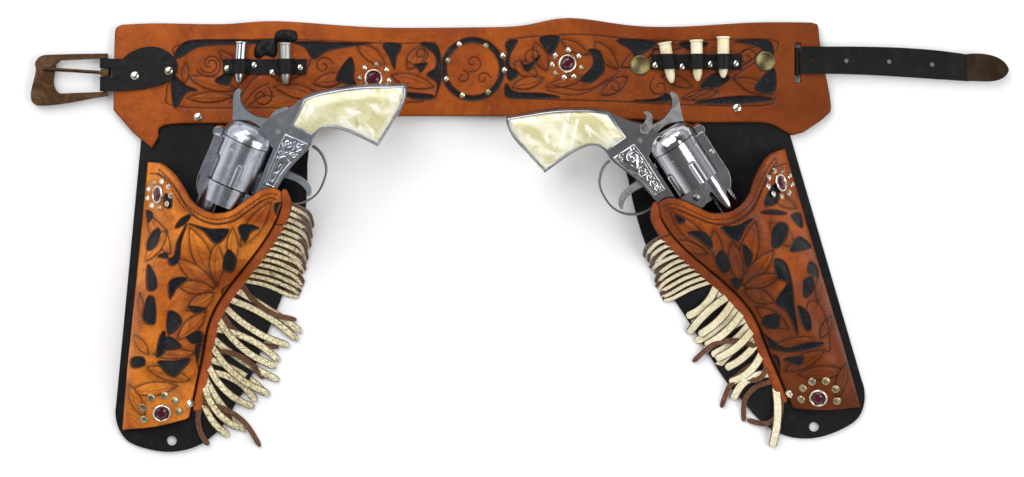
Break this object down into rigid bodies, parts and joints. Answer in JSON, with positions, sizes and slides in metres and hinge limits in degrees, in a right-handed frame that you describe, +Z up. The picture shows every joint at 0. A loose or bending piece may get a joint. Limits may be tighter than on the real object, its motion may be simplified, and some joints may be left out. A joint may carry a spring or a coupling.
{
  "type": "toy holster set",
  "caption": "Child's tooled leather gun belt with two fringed holsters, toy cap pistols and play cartridges, laid flat.",
  "frame": {"origin": "centre of the footprint, on the surface that it lies on", "axes": "+X along the belt towards its tip, +Y from the holsters' toes to the belt, +Z up"},
  "size_m": [0.6051, 0.2687, 0.0511],
  "materials": {
    "tooled_leather": "oiled, tooled, edges stained",
    "welt_leather": "smooth oiled",
    "fringe_suede": "cream suede, cracked finish",
    "billet_leather": "black, grained",
    "black_leather": "black, grained",
    "bronze": "worn brown",
    "nickel": "polished, aged",
    "garnet_glass": "faceted",
    "bullet_silver": "polished",
    "bullet_pewter": "dull cast",
    "bullet_cream": "moulded",
    "pearl_plastic": "pearl swirl",
    "lock_steel": "cast, dull",
    "left_gun_nickel": "die-cast zinc, satin nickel",
    "right_gun_nickel": "die-cast zinc, bright nickel"
  },
  "bodies": {
    "belt": {"belt_jewel_bezels": "nickel", "belt_jewels": "garnet_glass", "belt_panel": "tooled_leather", "belt_rivets": "nickel", "belt_spots": "nickel", "billet_anchor_discs": "nickel", "billet_anchor_strap": "billet_leather", "buckle_strap": "black_leather", "holster_jewel_bezels": "nickel", "holster_jewels": "garnet_glass", "left_bullet_loops": "black_leather", "left_holster_backing": "black_leather", "left_holster_fringe": "fringe_suede", "left_holster_pocket": "tooled_leather", "left_holster_spots": "nickel", "left_holster_welt": "welt_leather", "right_bullet_loops": "black_leather", "right_holster_backing": "black_leather", "right_holster_fringe": "fringe_suede", "right_holster_pocket": "tooled_leather", "right_holster_spots": "nickel", "right_holster_welt": "welt_leather"},
    "left_gun": {"left_gun_barrel": "left_gun_nickel", "left_gun_frame_left": "left_gun_nickel", "left_gun_frame_right": "left_gun_nickel", "left_gun_grip_left": "pearl_plastic", "left_gun_grip_right": "pearl_plastic", "left_gun_hammer_spring": "lock_steel", "left_gun_pins": "lock_steel", "left_gun_screws": "lock_steel", "left_gun_trigger_guard": "left_gun_nickel", "left_gun_trigger_spring": "lock_steel"},
    "left_gun_cylinder": {"left_gun_cylinder": "left_gun_nickel"},
    "left_gun_hammer": {"left_gun_hammer": "lock_steel"},
    "left_gun_trigger": {"left_gun_trigger": "lock_steel"},
    "left_gun_release_lever": {"left_gun_release_lever": "lock_steel"},
    "right_gun": {"right_gun_barrel": "right_gun_nickel", "right_gun_frame_left": "right_gun_nickel", "right_gun_frame_right": "right_gun_nickel", "right_gun_grip_left": "pearl_plastic", "right_gun_grip_right": "pearl_plastic", "right_gun_hammer_spring": "lock_steel", "right_gun_pins": "lock_steel", "right_gun_screws": "lock_steel", "right_gun_trigger_guard": "right_gun_nickel", "right_gun_trigger_spring": "lock_steel"},
    "right_gun_cylinder": {"right_gun_cylinder": "right_gun_nickel"},
    "right_gun_hammer": {"right_gun_hammer": "lock_steel"},
    "right_gun_trigger": {"right_gun_trigger": "lock_steel"},
    "right_gun_release_lever": {"right_gun_release_lever": "lock_steel"},
    "bullet_1": {"bullet_1": "bullet_silver"},
    "bullet_2": {"bullet_2": "bullet_pewter"},
    "bullet_3": {"bullet_3": "bullet_cream"},
    "bullet_4": {"bullet_4": "bullet_cream"},
    "bullet_5": {"bullet_5": "bullet_cream"},
    "buckle_frame": {"buckle_frame": "bronze"},
    "buckle_prong": {"buckle_prong": "bronze"},
    "billet": {"billet_strap": "billet_leather", "billet_tip": "bronze"}
  },
  "joints": [
    {"name": "left_gun_draw", "type": "slide", "parent": "belt", "child": "left_gun", "axis": [0.3917, 0.9095, 0.1392], "range_m": [0, 0.06]},
    {"name": "left_cylinder_spin", "type": "hinge", "parent": "left_gun", "child": "left_gun_cylinder", "pos_m": [-0.17388, 0.04051, 0.027], "axis": [-0.3917, -0.9095, -0.1392], "continuous": true},
    {"name": "left_hammer_cock", "type": "hinge", "parent": "left_gun", "child": "left_gun_hammer", "pos_m": [-0.14741, 0.06253, 0.03131], "axis": [0.055, 0.1278, -0.9903], "range_deg": [0, 35], "stiffness_Nm_per_rad": 0.15, "springref_deg": -5.73},
    {"name": "left_trigger_pull", "type": "hinge", "parent": "left_gun", "child": "left_gun_trigger", "pos_m": [-0.14769, 0.03785, 0.02811], "axis": [0.055, 0.1278, -0.9903], "range_deg": [-18.1, 0]},
    {"name": "left_release_lever_turn", "type": "hinge", "parent": "left_gun", "child": "left_gun_release_lever", "pos_m": [-0.15116, 0.069, 0.03194], "axis": [0.055, 0.1278, -0.9903], "range_deg": [0, 25], "stiffness_Nm_per_rad": 0.02, "springref_deg": -5.73},
    {"name": "right_gun_draw", "type": "slide", "parent": "belt", "child": "right_gun", "axis": [-0.5466, 0.8258, 0.1392], "range_m": [0, 0.06]},
    {"name": "right_cylinder_spin", "type": "hinge", "parent": "right_gun", "child": "right_gun_cylinder", "pos_m": [0.10226, 0.03997, 0.027], "axis": [0.5466, -0.8258, -0.1392], "continuous": true},
    {"name": "right_hammer_cock", "type": "hinge", "parent": "right_gun", "child": "right_gun_hammer", "pos_m": [0.07231, 0.05696, 0.03131], "axis": [0.0768, -0.1161, 0.9903], "range_deg": [0, 35], "stiffness_Nm_per_rad": 0.15, "springref_deg": -5.73},
    {"name": "right_trigger_pull", "type": "hinge", "parent": "right_gun", "child": "right_gun_trigger", "pos_m": [0.07696, 0.03273, 0.02811], "axis": [0.0768, -0.1161, 0.9903], "range_deg": [-18.1, 0]},
    {"name": "right_release_lever_turn", "type": "hinge", "parent": "right_gun", "child": "right_gun_release_lever", "pos_m": [0.07486, 0.06399, 0.03194], "axis": [0.0768, -0.1161, 0.9903], "range_deg": [0, 25], "stiffness_Nm_per_rad": 0.02, "springref_deg": -5.73},
    {"name": "bullet_1_pull", "type": "slide", "parent": "belt", "child": "bullet_1", "axis": [0.0698, 0.9976, 0], "range_m": [0, 0.03]},
    {"name": "bullet_2_pull", "type": "slide", "parent": "belt", "child": "bullet_2", "axis": [-0.0175, 0.9998, 0], "range_m": [0, 0.03]},
    {"name": "bullet_3_pull", "type": "slide", "parent": "belt", "child": "bullet_3", "axis": [-0.1736, 0.9848, 0], "range_m": [0, 0.03]},
    {"name": "bullet_4_pull", "type": "slide", "parent": "belt", "child": "bullet_4", "axis": [-0.0349, 0.9994, 0], "range_m": [0, 0.03]},
    {"name": "bullet_5_pull", "type": "slide", "parent": "belt", "child": "bullet_5", "axis": [0, 1, 0], "range_m": [0, 0.03]},
    {"name": "buckle_flip", "type": "hinge", "parent": "belt", "child": "buckle_frame", "pos_m": [-0.257, 0.099, 0.0039], "axis": [0, 1, 0], "range_deg": [0, 90]},
    {"name": "prong_lift", "type": "hinge", "parent": "buckle_frame", "child": "buckle_prong", "pos_m": [-0.257, 0.099, 0.0039], "axis": [0, 1, 0], "range_deg": [0, 20]},
    {"name": "billet_lift", "type": "hinge", "parent": "belt", "child": "billet", "pos_m": [0.1735, 0.1065, 0.0056], "axis": [0, -1, 0], "range_deg": [0, 90]}
  ],
  "couplings": [
    {"joint": "left_trigger_pull", "follows": "left_hammer_cock", "ratio": -0.517},
    {"joint": "right_trigger_pull", "follows": "right_hammer_cock", "ratio": -0.517}
  ]
}
